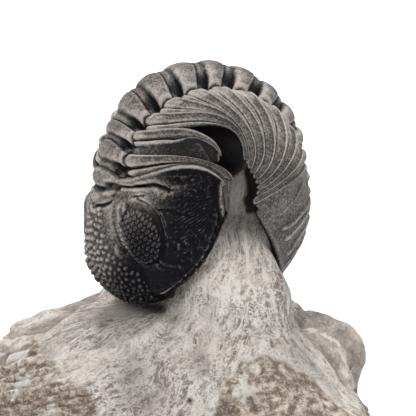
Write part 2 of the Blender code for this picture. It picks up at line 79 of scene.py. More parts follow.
# Smooth faces of the shields: place on the thorax's edge, and points towards the margin as (x, z, side)
HEAD_CAGE = (
    (0.0, (-15.9, -1.7, 0.0), (-16.3, -5.7, 0.0), (-16.3, -9.7, 0.0), (-15.4, -13.0, 0.0),
        (-13.4, -15.8, 0.0), (-10.9, -17.8, 0.0), (-7.2, -18.4, 0.0)),
    (0.55, (-15.5, -1.7, 2.6), (-15.8, -5.7, 2.4), (-15.7, -9.7, 3.4), (-14.8, -12.8, 4.3),
        (-13.0, -15.4, 4.5), (-10.6, -17.5, 4.5), (-7.3, -18.1, 4.3)),
    (1.0, (-14.6, -2.0, 4.5), (-14.9, -5.7, 4.4), (-14.2, -8.8, 5.5), (-13.1, -11.4, 7.1),
        (-12.0, -13.6, 8.2), (-10.7, -16.1, 8.3), (-7.9, -17.2, 7.8)),
    (1.12, (-13.7, -2.0, 7.1), (-13.4, -5.6, 7.2), (-12.9, -8.8, 8.0), (-12.3, -11.4, 8.8),
        (-11.3, -13.8, 9.3), (-10.0, -15.7, 9.2), (-8.0, -16.3, 8.9)),
    (1.25, (-11.6, -1.5, 9.8), (-11.1, -5.2, 10.0), (-10.6, -8.2, 10.4), (-10.2, -10.8, 10.6),
        (-9.6, -13.0, 10.5), (-8.9, -14.6, 10.2), (-8.0, -15.0, 9.9)),
    (1.46, (-8.5, -0.6, 12.6), (-8.4, -3.9, 12.8), (-8.1, -6.9, 12.7), (-7.7, -9.4, 12.5),
        (-7.4, -11.4, 12.2), (-7.1, -12.6, 12.0), (-6.7, -13.0, 11.8)),
    (1.68, (-6.0, -0.1, 14.3), (-5.9, -2.4, 14.5), (-5.7, -4.6, 14.3), (-5.4, -6.8, 14.1),
        (-5.1, -8.2, 13.9), (-4.8, -9.2, 13.6), (-4.4, -9.5, 13.4)),
    (1.96, (-3.5, -0.2, 15.6), (-3.6, -1.0, 15.7), (-3.6, -1.8, 15.7), (-3.4, -2.6, 15.6),
        (-3.2, -3.2, 15.5), (-3.0, -3.6, 15.4), (-2.7, -3.8, 15.3)),
)
TAIL_CAGE = (
    (0.0, (17.0, -3.1, 0.0), (17.0, -6.2, 0.0), (16.6, -9.4, 0.0), (15.6, -12.2, 0.0),
        (13.9, -14.6, 0.0), (11.9, -16.0, 0.0)),
    (1.0, (14.8, -2.1, 4.7), (15.1, -5.4, 4.7), (14.8, -8.2, 4.5), (14.0, -10.9, 4.3),
        (12.8, -13.3, 3.8), (11.4, -15.3, 3.3)),
    (1.09, (13.3, -1.7, 7.4), (13.6, -4.3, 7.7), (13.2, -6.8, 7.7), (12.4, -9.4, 7.5),
        (11.1, -11.6, 7.1), (9.7, -13.5, 6.5)),
    (1.2, (11.9, -1.3, 10.2), (12.1, -3.4, 10.4), (11.6, -5.4, 10.4), (10.8, -7.5, 10.2),
        (9.5, -9.5, 9.9), (8.0, -11.4, 9.4)),
    (1.35, (9.8, -1.0, 12.5), (9.8, -2.6, 12.6), (9.2, -4.1, 12.5), (8.4, -6.0, 12.4),
        (7.2, -7.4, 12.1), (6.0, -8.8, 11.6)),
    (1.6, (6.7, -1.6, 14.5), (6.7, -2.5, 14.5), (6.2, -3.4, 14.5), (5.5, -4.4, 14.3),
        (4.7, -5.3, 14.1), (3.7, -6.2, 13.8)),
    (1.96, (1.9, -3.3, 15.7), (2.1, -3.5, 15.7), (2.2, -3.6, 15.6), (2.2, -3.8, 15.5),
        (2.1, -3.9, 15.5), (1.8, -4.1, 15.4)),
)

# Fineness of the segments: lines across, and over the ring and the flank
BAND_LINES = 54
RING_LINES = 48
FLANK_LINES = 118
SEAM_GAP = 0.12  # between neighbouring plates where they look closed
UNDER_LINES = 4
BLUNT_TURN, SHARP_TURN = 1.84, 1.955  # places where the first two and the other tips start to turn round
MOST_INSET = 0.48
PLATE_CELLS, SHIELD_CELLS = 7, 4  # reach of the mean that a point's height is set against, in cells

# A ring from front to rear: shares of its width, and heights over the segment's smooth face
HALF_RING = 0.27  # share of the half ring in front, on the midline
SLIT_WIDENING = 0.12  # added to it beside the flanks, where it sinks into a slit
HALF_RING_TOP, HALF_RING_FALL, SLIT_FALL = -0.34, 0.1, 1.05
STRIPE_LENGTH, STRIPE_HEIGHT = 0.085, 0.06
RING_TOP, RING_FOOT, SLIT_WALL = 0.22, 0.55, 1.0

# A flank from front to rear
FLANK_FURROW, FURROW_DRIFT = 0.38, 0.27  # share at the axis, and how far it moves forward on its way out
FRONT_BAND_TOP, FRONT_BAND_FALL = -0.02, 0.3
REAR_BAND_START, REAR_BAND_RISES = -0.3, (0.2, 0.1)
REAR_BAND_END = 0.9
FURROW_DEPTH, FURROW_SHALLOWING = 0.5, 0.3
BAND_NOSES = ((0.18, 0.2, 1.005), (0.69, 0.33, 0.985))  # middle, half width and starting place of each band
FACET_DEPTH, FACET_RISE = -0.62, 0.28

# Fineness of the shields: stops of (row or column, density of lines), and the number of lines
HEAD_ROWS = ((0, 1.5), (1.6, 1.8), (2.0, 2.5), (4.2, 2.5), (4.6, 1.2), (6.4, 0.9), (6.6, 2.0), (7, 2.0)), 242
HEAD_COLUMNS = ((0, 1.2), (1.1, 1.5), (1.3, 1.5), (4.0, 1.5), (7, 1.2)), 195
TAIL_ROWS = ((0, 1.6), (2, 1.2), (6, 0.8)), 190
TAIL_COLUMNS = ((0, 1.4), (3, 1.0), (6, 1.0)), 130
TAIL_TONE = 0.8

# The head's warts, lenses and eye
WART_SEED = 5
WART_SIZE, WART_HEIGHT = 0.46, 0.95
WART_SHADE = 0.42  # how much darker than their height the warts are
LENS_SPACING = 0.64
EYE_MIDDLE = (3.16, 2.71)  # row and column of the eye's middle on the head's cage
EYE_ROWS, EYE_COLUMNS = 0.84, 1.23  # half its span
EYE_HEIGHT = 1.35
CHIN_TUCK = 1.3  # how far the front margin is drawn in beside the midline

# The rock
ROCK_CELL = 0.42  # fineness of its mesh
NECK = (1.2, -1.5)  # middle of the pillar from above
TOP_HEIGHT = 30.0
CARVING, CREASE_DEPTH = 2.3, 0.9  # worked away on the right flank, and in the crease beside the hump
HOLE_DEPTH, GAP_DEPTH = 3.2, 2.8  # pushed in behind the sprung plate, and round the tail
GAP_REACH = 2.1
SWIRL = 0.024  # turn of the streaks left of the neck, in radians for a millimetre
FILLING_MIDDLE = (2.0, 0.0, -6.0)

# Floor and light: each sun's name, direction towards it, power, and spread in degrees
FLOOR_SIZE = 6.0  # in metres
SUNS = (
    ("key", (-0.03, 0.42, 0.88), 3.3, 25.0),
    ("side", (0.85, -0.25, 0.5), 0.9, 40.0),
    ("front", (-0.5, -0.8, 0.6), 2.0, 35.0),
)
ROOM_LIGHT = 0.4

# Camera
VIEW_ELEVATION = math.radians(8.0)
FRAME_WIDTH = 59.07  # width of the picture at the coil, in mm
FRAME_SHIFT = (1.35, -5.25)  # from the coil's middle to the picture's, right and up, in mm
LENS = 800.0
SENSOR = 36.0


def smooth(value):
    """0 below 0, 1 above 1, and a soft step between."""
    value = np.clip(value, 0.0, 1.0)
    return value * value * (3 - 2 * value)


def rise(value, start, width):
    """0 up to the start, and 1 from a width past it."""
    return smooth((value - start) / width)


def fall(value, end, width):
    """1 up to a width before the end, and 0 from the end on."""
    return smooth((end - value) / width)


def bump(value, middle, width, height=1.0):
    """A soft ridge: its height at the middle, almost 0 two widths away."""
    return height * np.exp(-((value - middle) / width) ** 2)


def unit(vectors):
    return vectors / np.linalg.norm(vectors, axis=-1, keepdims=True)


def on_curve(knots, values):
    """Heights at some values of a line through (place, height) knots."""
    return np.interp(values, *zip(*knots))


def soft_knots(knots, values):
    """A curve through (place, height) knots that is level at each knot."""
    places, heights = np.array(knots).T
    index = np.clip(np.searchsorted(places, values, side="right") - 1, 0, len(places) - 2)
    share = (values - places[index]) / (places[index + 1] - places[index])
    return heights[index] + (heights[index + 1] - heights[index]) * smooth(share)


def value_noise(points, size, seed=0):
    """Soft noise between -1 and 1 at an array of points in millimetres."""
    scaled = np.asarray(points, float) / size + 17.3 * (seed + 1)
    cell = np.floor(scaled).astype(np.int64)
    share = smooth(scaled - cell)
    total = np.zeros(cell.shape[:-1])
    for step in np.ndindex(2, 2, 2):
        keys = (cell + step) * (73856093, 19349663, 83492791)
        mixed = np.bitwise_xor.reduce(keys, axis=-1) ^ (seed * 2654435)
        mixed = (mixed ^ (mixed >> 13)) * 1274126177 & 0x7FFFFFFF
        mixed = (mixed ^ (mixed >> 16)) & 0xFFFF
        weight = np.prod(np.where(step, share, 1 - share), axis=-1)
        total += weight * (mixed / 32767.5 - 1)
    return total


def fractal(points, size, octaves=4, seed=0):
    """Noise with finer and fainter detail added."""
    total, height = 0.0, 1.0
    for octave in range(octaves):
        total += height * value_noise(points, size, seed + octave)
        size, height = size / 2, height / 2
    return total


def furrow_radii(x):
    return np.where(x < 0, FURROW_RADII[0], FURROW_RADII[1]), FURROW_RADII[2]


def outward(points):
    """Directions away from the coil, square to its smooth dome."""
    along, up = furrow_radii(points[..., 0])
    tilt = 3 * points[..., 1] * np.abs(points[..., 1]) / FLANK_REACH ** 3
    return unit(np.stack([2 * points[..., 0] / along ** 2, tilt, 2 * points[..., 2] / up ** 2], -1))


def furrow_start(angle):
    """Where a flank edge starts on the furrow ellipse, seen from the side."""
    turn = math.radians(angle)
    along, up = furrow_radii(math.cos(turn))
    radius = 0.99 / math.hypot(math.cos(turn) / along, math.sin(turn) / up)
    return radius * math.cos(turn), radius * math.sin(turn)


def ring_points(ring_edge, start_angle, s):
    """Points of a ring edge, s from 0 on the midline to 1 in the axial furrow."""
    crest_angle, crest = ring_edge
    angle = np.radians(crest_angle + (start_angle - crest_angle) * s * s)
    radius = crest + (math.hypot(*furrow_start(start_angle)) - crest) * s ** 2.2
    return np.stack([radius * np.cos(angle), -AXIS_HALF_WIDTH * s, radius * np.sin(angle)], -1)


def flank_points(edge, t):
    """Points of a flank edge, t from 0 in the axial furrow to 1 at the tip."""
    start_angle, bend, tip = edge
    start = furrow_start(start_angle)
    weights = ((1 - t) ** 2, 2 * t * (1 - t), t * t)
    x, z = (sum(w * p[axis] for w, p in zip(weights, (start, bend, tip))) for axis in (0, 1))
    along, up = furrow_radii(x)
    spread = (x / along) ** 2 + (z / up) ** 2
    side = FLANK_REACH * np.maximum(0.0, 1 - spread) ** (1 / 3)
    return np.stack([x, -np.maximum(AXIS_HALF_WIDTH, side), z], -1)


def edge_points(index, edge, places, reach=1.0):
    """Points of plate edge number index; places run 0 to 1 over the ring and 1 to 2 over the flank."""
    places = np.asarray(places, float)
    ring = ring_points(RING_EDGES[index], edge[0], np.minimum(places, 1.0))
    flank = flank_points(edge, np.maximum(places - 1, 0.0) * reach)
    return np.where(places[..., None] <= 1, ring, flank)


def plate_depth(places):
    """Depth of a segment's underside below its smooth outer face."""
    ring = RING_DEPTH + (FLANK_DEPTH - RING_DEPTH) * places ** 2
    flank = FLANK_DEPTH + (TIP_DEPTH - FLANK_DEPTH) * np.minimum(1.0, (places - 1) * 1.2)
    return np.where(places <= 1, ring, flank)


def add_object(name, data):
    """A new object in the scene."""
    item = bpy.data.objects.new(name, data)
    bpy.context.scene.collection.objects.link(item)
    return item


def keep_values(mesh, **values):
    """Keeps a number or a vector for every point of a mesh, for its material."""
    for name, numbers in values.items():
        kind, field = ('FLOAT', "value") if numbers.ndim == 1 else ('FLOAT_VECTOR', "vector")
        layer = mesh.attributes.new(name, kind, 'POINT')
        layer.data.foreach_set(field, numbers.astype(np.float32).ravel())


def settle(points):
    """Brings the animal's right flank closer to the coil, high up on the head's half."""
    right = rise(points[:, 1], 0, 7)
    high = rise(points[:, 2], -5, 5)
    points[:, 0] *= 1 - RIGHT_TUCK * right * high * rise(-points[:, 0], 0, 8)
    return points


def make_object(name, points, faces, **values):
    """A mesh object from points in the animal's frame."""
    world = (settle(points) * MM) @ COIL_TURN.T + np.array(Vector(COIL_CENTRE) * MM)
    mesh = bpy.data.meshes.new(f"fine_{name}")
    mesh.from_pydata(world, [], faces)
    keep_values(mesh, **values)
    mesh.shade_smooth()
    return add_object(mesh.name, mesh)


def loft_faces(rows, cols):
    """Quads between closed outlines of so many columns, and a cap at each end."""
    index = np.arange(rows * cols).reshape(rows, cols)
    after = np.roll(index, -1, axis=1)
    quads = np.stack([index[:-1], index[1:], after[1:], after[:-1]], -1).reshape(-1, 4)
    return [*quads.tolist(), index[0].tolist(), index[-1, ::-1].tolist()]


def both_sides(sections):
    """Sections from the midline to the left tip, continued to the right tip."""
    return np.concatenate([sections[:0:-1] * MIRROR, sections])


def box_blur(grid, radius):
    """The mean of a grid over a square window."""
    count = 2 * radius + 1
    for axis in (0, 1):
        margins = [(radius + 1, radius) if other == axis else (0, 0) for other in range(grid.ndim)]
        sums = np.cumsum(np.pad(grid, margins, mode="edge"), axis)
        ends = np.arange(grid.shape[axis])
        grid = (sums.take(ends + count, axis) - sums.take(ends, axis)) / count
    return grid


def grid_normals(grid):
    """Outward directions of a grid of points, from its own slopes."""
    normals = unit(np.cross(np.gradient(grid, axis=0), np.gradient(grid, axis=1)) + 1e-9)
    facing = np.sum(normals * outward(grid), -1, keepdims=True)
    return normals * np.where(facing < 0, -1.0, 1.0)


def flank_profile(shares, places):
    """Height of a flank: a thin front band, a furrow, and a rear band with a sharp rim."""
    outwards = rise(places, 1.1, 0.6)
    furrow = FLANK_FURROW - FURROW_DRIFT * rise(places, 1.12, 0.45)
    crest = furrow * 0.55
    front = FRONT_BAND_TOP - FRONT_BAND_FALL * ((shares - crest) / crest) ** 2
    climb = np.clip((shares - furrow) / (REAR_BAND_END - furrow), 0, 1)
    rear = REAR_BAND_START + REAR_BAND_RISES[0] * np.sqrt(climb) + REAR_BAND_RISES[1] * climb
    groove = -(FURROW_DEPTH - FURROW_SHALLOWING * outwards) * bump(shares, furrow, 0.07)
    rim = bump(shares, 0.925, 0.038, 0.24)
    second_rim = 0.1 * outwards * bump(shares, furrow + 0.3, 0.045)
    edges = -0.2 * (1 - rise(shares, 0, 0.06)) - 0.5 * rise(shares, 0.955, 0.045)
    return np.where(shares < furrow, front, rear) + groove + rim + second_rim + edges


def finger_tips(shares, places):
    """0 in the axial furrow and 1 past the rounded starts of the front and rear bands."""
    past = 0.0
    for middle, half_width, tip in BAND_NOSES:
        across = np.clip(1 - ((shares - middle) / half_width) ** 2, 0, 1)
        past = np.maximum(past, smooth((places - tip - 0.05 * (1 - np.sqrt(across))) / 0.022))
    return past


def ring_relief(shares, places):
    """Height of a ring: a low half ring that sinks to a slit outwards, and a round main ring."""
    slit = rise(places, 0.35, 0.5)
    front = HALF_RING + SLIT_WIDENING * slit
    half_ring = HALF_RING_TOP + bump(shares, 0.1, 0.1, 0.12)
    half_ring -= (HALF_RING_FALL + SLIT_FALL * slit) * shares / front
    stripes = np.cos(2 * math.pi * (shares + 0.02 * np.sin(9 * places)) / STRIPE_LENGTH)
    half_ring += STRIPE_HEIGHT * stripes * slit * rise(shares, 0.05, 0.1)
    middle, half_width = (1 + front) / 2, (1 - front) / 2 + 0.006
    arch = np.sqrt(np.clip(1 - ((shares - middle) / half_width) ** 2, 0, 1))
    foot = RING_FOOT + SLIT_WALL * slit * (shares < middle)
    main_ring = -foot + (foot + RING_TOP) * arch + bump(places, 0.74, 0.18, 0.15) * arch
    return np.maximum(half_ring, main_ring) + bump(shares, 0.93, 0.03, 0.05)


def segment_relief(shares, places):
    """Height of a segment over its smooth face."""
    ring = ring_relief(shares, places)
    knobs = bump(places, 1.045, 0.035, 0.28) * (bump(shares, 0.72, 0.2) + bump(shares, 0.2, 0.12, 0.8))
    flank = flank_profile(shares, places) + knobs
    tips = finger_tips(shares, places)
    flank = np.where(tips < 1, -1.0 + (flank + 1.0) * tips, flank)
    on_flank = rise(places, 0.96, 0.05)
    return ring * (1 - on_flank) + flank * on_flank


# Upper edge of the short plate's facet: (place, share of the plate's width)
FACET_KNOTS = ((1.0, 0.3), (1.15, 0.38), (1.35, 0.46), (1.5, 0.66), (1.62, 0.76), (2.0, 0.78))


def facet_top(places):
    """How far the front facet of the short plate reaches, as a share of its width."""
    return on_curve(FACET_KNOTS, places)


def open_facet(shares, places):
    """Height of a segment whose smooth front facet is bare."""
    top = np.where(places > 1, facet_top(places), 0.0)
    whole = segment_relief(np.clip((shares - top) / (1 - top), 0, 1), places)
    slope = FACET_DEPTH + FACET_RISE * shares / np.maximum(top, 0.2)
    tip = -0.14 * rise(places + 0.3 * shares, 1.86, 0.02)
    on_facet = fall(shares, top, 0.04) * rise(places, 1, 0.04)
    rim = 0.22 * bump(shares, top, 0.03) * rise(places, 1.02, 0.1) + 0.22 * bump(places, 1.97, 0.02)
    return whole * (1 - on_facet) + (slope + tip) * on_facet + rim


def segment_places():
    """Lines from the midline to the tip, closer where the ring falls to the axial furrow."""
    ring = np.linspace(0, 1, RING_LINES + 1)[:-1]
    flank = 1 + np.linspace(0, 1, FLANK_LINES + 1) ** 1.4
    return np.concatenate([1 - (1 - ring) ** 1.25, flank])


def segment_edges(number, places):
    """Front and rear edge of a segment, and the share of its width that its plate keeps off them."""
    front_edge = SPRUNG_EDGE if number == SPRUNG_SEGMENT else FLANK_EDGES[number - 1]
    reach = SHORT_REACH if number == SHORT_SEGMENT else 1.0
    front = edge_points(number - 1, front_edge, places, reach * EDGE_REACHES[number - 1])
    rear = edge_points(number, FLANK_EDGES[number], places, EDGE_REACHES[number])
    inset = SEAM_GAP / 2 / np.linalg.norm(rear - front, axis=1)
    turn = BLUNT_TURN if number <= SHORT_SEGMENT else SHARP_TURN
    past = np.clip((places - turn) / (2 - turn), 0, 1)
    return front, rear, np.minimum(inset + 0.5 * (1 - np.sqrt(1 - past ** 2)), MOST_INSET)


def across_plate(edges, shares):
    """Points between a segment's edges at shares of its width."""
    front, rear, inset = edges
    across = inset[:, None] + (1 - 2 * inset[:, None]) * shares
    return front[:, None] + (rear - front)[:, None] * across[..., None]


def make_segment(number):
    """A thoracic segment as a fine mesh."""
    places = segment_places()
    even = np.linspace(0, 1, BAND_LINES)
    shares = (1 - np.cos(np.linspace(0.0, math.pi, BAND_LINES))) / 2 * 0.5 + even * 0.5
    edges = segment_edges(number, places)
    base = across_plate(edges, shares)
    relief_of = open_facet if number == SHORT_SEGMENT else segment_relief
    over_plate = np.meshgrid(shares, places)
    relief = relief_of(*over_plate) + 0.04 * fractal(base, 2.2, 4, 10 * number)
    outer = base + outward(base) * relief[..., None]
    under = across_plate(edges, np.linspace(1.0, 0.0, UNDER_LINES))
    under -= outward(under) * plate_depth(places)[:, None, None]
    tone = segment_tone(number, *over_plate)
    name = f"thoracic_segment_{number:02d}"
    return finish_plate(name, np.hstack([outer, under]), relief, tone, PLATE_CELLS)


def segment_tone(number, shares, places):
    """1 where a segment is grey, and 0 in the slit of its half ring, which is painted shade in that recess.
    """
    sunk = rise(places, 0.4, 0.4)
    tone = 1 - 0.95 * fall(shares, 0.28 + 0.13 * sunk, 0.06) * sunk * (places < 0.98)
    if number <= SPRUNG_SEGMENT:
        tone -= 0.35 * rise(places, 1.05, 0.3)
    if number == SHORT_SEGMENT:
        tone -= 0.4 * fall(shares, facet_top(places), 0.04) * (places > 1.03)
    return tone


def finish_plate(name, sections, relief, tone, cells):
    """Mirrors a plate's left half and makes its mesh. Relief and tone are given for its outer face.

    The head's outlines are turned round, as in the solids.
    """
    under = ((0, 0), (0, sections.shape[1] - relief.shape[1]))
    # raised is the height over the nearby mean: the material paints ridges lighter, as wear and painted
    # highlight, and hollows near black as painted shade; the underside gets a low value, so it is painted
    # black as shade
    raised = np.pad(relief - box_blur(relief, cells), under, constant_values=-0.5)
    tone = np.pad(tone, under, mode="edge")
    if name == "cephalon":
        sections, raised, tone = sections[:, ::-1], raised[:, ::-1], tone[:, ::-1]
    sections[0, :, 1] = 0.0
    full = both_sides(sections)
    raised, tone = (np.concatenate([values[:0:-1], values]) for values in (raised, tone))
    faces = loft_faces(*full.shape[:2])
    return make_object(name, full.reshape(-1, 3), faces, raised=raised.ravel(), tone=tone.ravel())


def catmull(values, positions):
    """Smooth interpolation along axis 0 of an array at fractional positions."""
    index = np.clip(positions.astype(int), 0, len(values) - 2)
    t = (positions - index).reshape(-1, *([1] * (values.ndim - 1)))
    extended = np.concatenate([[2 * values[0] - values[1]], values, [2 * values[-1] - values[-2]]])
    p0, p1, p2, p3 = (extended[index + step] for step in range(4))
    return 0.5 * (2 * p1 + (p2 - p0) * t + (2 * p0 - 5 * p1 + 4 * p2 - p3) * t ** 2
                  + (3 * p1 - p0 - 3 * p2 + p3) * t ** 3)


def cage_grid(cage, edge_index, rows, cols):
    """Points of a shield's smooth face, held to the thorax's edge."""
    places = [row[0] for row in cage]
    edge = FLANK_EDGES[edge_index]
    control = []
    for place, *points in cage:
        start = edge_points(edge_index, edge, place)
        control.append([start, *([x, -side, z] for x, z, side in points)])
    control = np.array(control)
    first = catmull(control.transpose(1, 0, 2), cols).transpose(1, 0, 2)
    grid = catmull(first, rows)
    drawn = catmull(control[:, 0], rows)
    held = edge_points(edge_index, edge, np.interp(rows, range(len(places)), places))
    weight = np.clip(1 - cols, 0, 1) ** 2
    return grid + (held - drawn)[:, None] * weight[None, :, None]


def cage_points(cage, edge_index, path, spacing=0.05):
    """Points close together along a path on a shield's smooth face."""
    path = np.array(path, float)
    if len(path) > 1:
        steps = np.arange(0.0, len(path) - 1 + 1e-9, spacing)
        path = catmull(path, steps)
    return np.array([cage_grid(cage, edge_index, point[:1], point[1:])[0, 0] for point in path])


def stroke(grid, line, width):
    """1 on a line of points, and falling softly beside it, at each point of a grid."""
    nearest = np.inf
    for point in line:
        nearest = np.minimum(nearest, np.sum((grid - point) ** 2, -1))
    return np.exp(-nearest / width ** 2)


# Lines of the head shield: width and height in millimetres, and a path of (row, column) points
HEAD_STROKES = (
    (0.22, -0.7, (1.9, 0.5), (2.44, 0.56), (3.25, 0.58)),
    (0.34, -0.8, (2.9, 0.56), (3.4, 0.58), (3.9, 0.62), (4.31, 0.81), (4.5, 0.94)),
    (0.35, 0.35, (2.0, 0.14), (3.4, 0.12), (4.8, 0.1), (6.2, 0.12), (6.8, 0.3)),
    (0.42, -0.8, (0.0, 0.97), (0.8, 0.93), (1.5, 0.8), (1.85, 0.72)),
    (0.42, -1.0, (0.9, 0.74), (1.2, 0.64), (1.6, 0.56)),
    (0.6, 0.55, (0.95, 1.0), (1.3, 0.98)),
    (0.55, 0.45, (0.0, 1.3), (0.3, 1.28)),
    (0.3, -0.55, (0.0, 1.62), (0.75, 1.55), (1.5, 1.35)),
    (0.3, -0.75, (1.6, 0.8), (1.52, 1.38), (1.68, 1.9), (1.72, 2.4), (1.72, 2.85), (1.74, 3.4)),
    (0.5, -0.2, (1.74, 3.4), (1.9, 3.9), (2.0, 4.44), (1.8, 5.3), (1.2, 6.1)),
    (0.26, -0.6, (2.2, 3.78), (2.6, 3.92), (3.12, 3.97), (3.62, 4.05), (3.8, 4.3)),
    (0.14, -0.4, (3.06, 1.0), (3.3, 1.0), (3.56, 1.0)),
    (0.18, -0.4, (3.3, 1.1), (3.75, 1.35), (4.02, 1.75), (4.12, 2.2), (4.15, 2.8)),
    (0.13, -0.4, (4.15, 1.6), (4.5, 1.72), (4.94, 2.02), (5.3, 2.3)),
    (0.14, 0.16, (4.22, 1.7), (4.3, 2.0), (4.32, 2.3)),
    (0.3, 0.3, (3.75, 3.95), (4.19, 4.31), (4.62, 4.62)),
    (0.14, -0.3, (6.86, 4.1), (6.5, 5.3), (6.0, 5.75), (5.3, 6.2), (4.2, 6.3), (2.9, 6.15)),
    (0.12, -0.2, (6.7, 4.0), (6.3, 5.1), (5.8, 5.5), (5.1, 5.95), (4.1, 6.0), (2.9, 5.85)),
)

# Path of a fine raised line along the edge of the lower cheek, made lighter as a painted highlight
HEAD_MARGIN = ((6.6, 3.6), (6.6, 4.2), (6.25, 5.2), (5.75, 5.65), (5.1, 6.05), (4.1, 6.15), (2.9, 6.0))

# The lobe over the eye: (row, height)
LID_KNOTS = ((1.66, 0.0), (1.84, 0.62), (1.94, 0.7), (2.08, 0.45), (2.24, 0.5), (2.42, 1.0), (2.52, 1.05),
             (2.64, 0.6), (2.8, 0.0))


def eye_distance(rows, cols):
    """0 in the eye's middle and 1 on its outline, on the head's cage."""
    across, down = np.abs(rows - EYE_MIDDLE[0]) / EYE_ROWS, np.abs(cols - EYE_MIDDLE[1]) / EYE_COLUMNS
    return (across ** 2.4 + down ** 2.4) ** (1 / 2.4)


def eye_lid(rows, cols):
    """Height of the stepped crescent between the axial furrow and the eye."""
    span = rise(cols, 0.95, 0.45) * fall(cols, 3.75, 1.1)
    narrow = 0.5 * rise(cols, 2.4, 1.3)
    place = rows + narrow * (2.6 - rows) * (rows < 2.6) - 0.12 * rise(cols, 2.6, 1)
    return soft_knots(LID_KNOTS, np.clip(place, LID_KNOTS[0][0], LID_KNOTS[-1][0])) * span


def head_relief(rows, cols):
    """Large relief of the head shield: rings, furrows, border and the eye's tower."""
    on_axis = 1 / (1 + np.exp((rows - 1.72) / 0.06))
    rings = 0.5 * bump(cols, 0.42, 0.36) - 0.35 * fall(cols, 0.12, 0.12)
    cheek = 0.25 * bump(cols, 0.25, 0.3) - 0.3 * bump(rows, 3.4, 1) * bump(cols, 0.72, 0.2)
    swelling = 0.35 * bump(cols, 4.2, 1.6)
    recess = -0.45 * rise(rows, 4.2, 0.7) * fall(rows, 6.95, 0.3)
    recess = recess * rise(cols, 0.1, 0.15) * fall(cols, 1.9 + 0.25 * (rows - 5), 1.0)
    distance = eye_distance(rows, cols)
    eye = EYE_HEIGHT * np.clip(1 - distance ** 2.2, 0, 1) ** 0.62
    raised = np.maximum(eye, eye_lid(rows, cols))
    moat = -0.3 * bump(distance, 1.13, 0.1) * (1 - smooth(raised / 0.3))
    margin = 0.35 * bump(cols, 6.8, 0.2) + 0.3 * bump(rows, 6.9, 0.12) * smooth(cols - 0.5)
    return (rings + swelling) * on_axis + (cheek + recess + moat) * (1 - on_axis) + raised + margin


def head_texture(rows, cols, points):
    """Fine relief of the cheek: a netted hollow, wrinkles below it, and granules towards the edge."""
    net = 0.5 - np.abs(fractal(points, 0.5, 2, 31)) * 1.6
    hollow = rise(rows, 3.9, 0.6) * fall(cols, 1.7 + 0.2 * (rows - 5), 0.5) * rise(cols, 0.14, 0.1)
    drift = fractal(points, 1.6, 2, 33)
    wrinkles = np.cos(2 * math.pi * (cols / 0.19 + 0.35 * rows + 0.8 * drift))
    wrinkled = rise(rows, 4.3, 0.5) * rise(cols, 1.3, 0.3) * fall(cols, 4.6, 1.6)
    granules = value_noise(points, 0.42, 35)
    margin = rise(rows, 3.9, 0.8) * (0.35 + 0.65 * rise(cols, 2.4, 1.2))
    texture = 0.22 * net * hollow + 0.13 * wrinkles * wrinkled * (0.6 + 0.4 * drift) + 0.2 * granules * margin
    return texture * (1 - rise(rows, 6.55, 0.2))


def head_tone(rows, cols):
    """0 where the head shield is black, and 1 where it is grey."""
    # darker towards the outer cheek (right) and the lower head (low): partly the calcite's own black, partly
    # painted shade where they face away from the light
    right = fall(rows, 4.85 + 0.9 * bump(cols, 0.95, 0.4), 2.2)
    # black in the recess beside the thorax: painted shade
    right = right * (1 - rise(rows, 4.1, 0.7) * fall(cols, 0.85, 0.2))
    low = smooth((4.6 - cols + 0.9 * np.clip(1.3 - rows, -1, 1)) / 2.6)
    low = low * (1 - 0.6 * rise(rows, 2.2, 0.8) * rise(cols, 1.6, 1.2))
    # the eye is dark in its lenses' own colour, and darker towards its lower part as painted shade
    eye = fall(eye_distance(rows, cols), 1.1, 0.1) * (0.4 + 0.5 * rise(cols, 1.6, 1.6))
    # lighter border, outer margin and lid over the eye: painted highlight
    rim = np.maximum(0.8 * fall(cols, 0.22, 0.12), 0.6 * rise(rows, 6.75, 0.12) * (cols < 5.6))
    rim = np.maximum(rim, 0.85 * np.clip(eye_lid(rows, cols), 0, 1))
    return np.maximum(right * low * (1 - eye), rim)


# How far the warts reach from the midline: (column, row)
WART_EDGE = ((1.6, 0.6), (2.2, 0.85), (2.7, 0.95), (3.2, 1.25), (3.7, 1.45), (4.25, 1.65), (4.75, 1.85),
             (5.5, 1.95), (6.1, 1.7), (6.6, 1.2))


def wart_middles(grid, rows, cols):
    """Middles and sizes of the glabella's warts, spread at random but evenly."""
    chance = np.random.default_rng(WART_SEED)
    beside = (cols > WART_EDGE[0][0]) & (cols < WART_EDGE[-1][0])
    candidates = np.argwhere(beside & (rows < on_curve(WART_EDGE, cols)))
    chance.shuffle(candidates)
    middles, sizes = [], []
    for i, j in candidates:
        size = WART_SIZE - 0.08 * rise(rows[i, j], 0.4, 1) - 0.06 * rise(cols[i, j], 4.5, 1.5)
        point = grid[i, j]
        if middles:
            gaps = np.linalg.norm(np.array(middles) - point, axis=1) - 0.9 * (np.array(sizes) + size)
            if gaps.min() < 0:
                continue
        middles.append(point)
        sizes.append(size * chance.uniform(0.88, 1.08))
        if len(middles) > 900:
            break
    return np.array(middles), np.array(sizes)


def wart_heights(grid, rows, cols):
    """Height of a round wart at each middle, the midline's mirror image included."""
    middles, sizes = wart_middles(grid, rows, cols)
    tree = kdtree.KDTree(2 * len(middles))
    for index, middle in enumerate(middles):
        tree.insert(middle, index)
        tree.insert(middle * MIRROR, index)
    tree.balance()
    reach = np.zeros(rows.shape)
    for i, j in np.argwhere((rows < 2.2) & (cols > 1.3)):
        _, index, distance = tree.find(grid[i, j])
        reach[i, j] = max(0.0, 1 - (distance / sizes[index]) ** 2) * sizes[index]
    return WART_HEIGHT * reach ** 0.8 * (reach > 0)


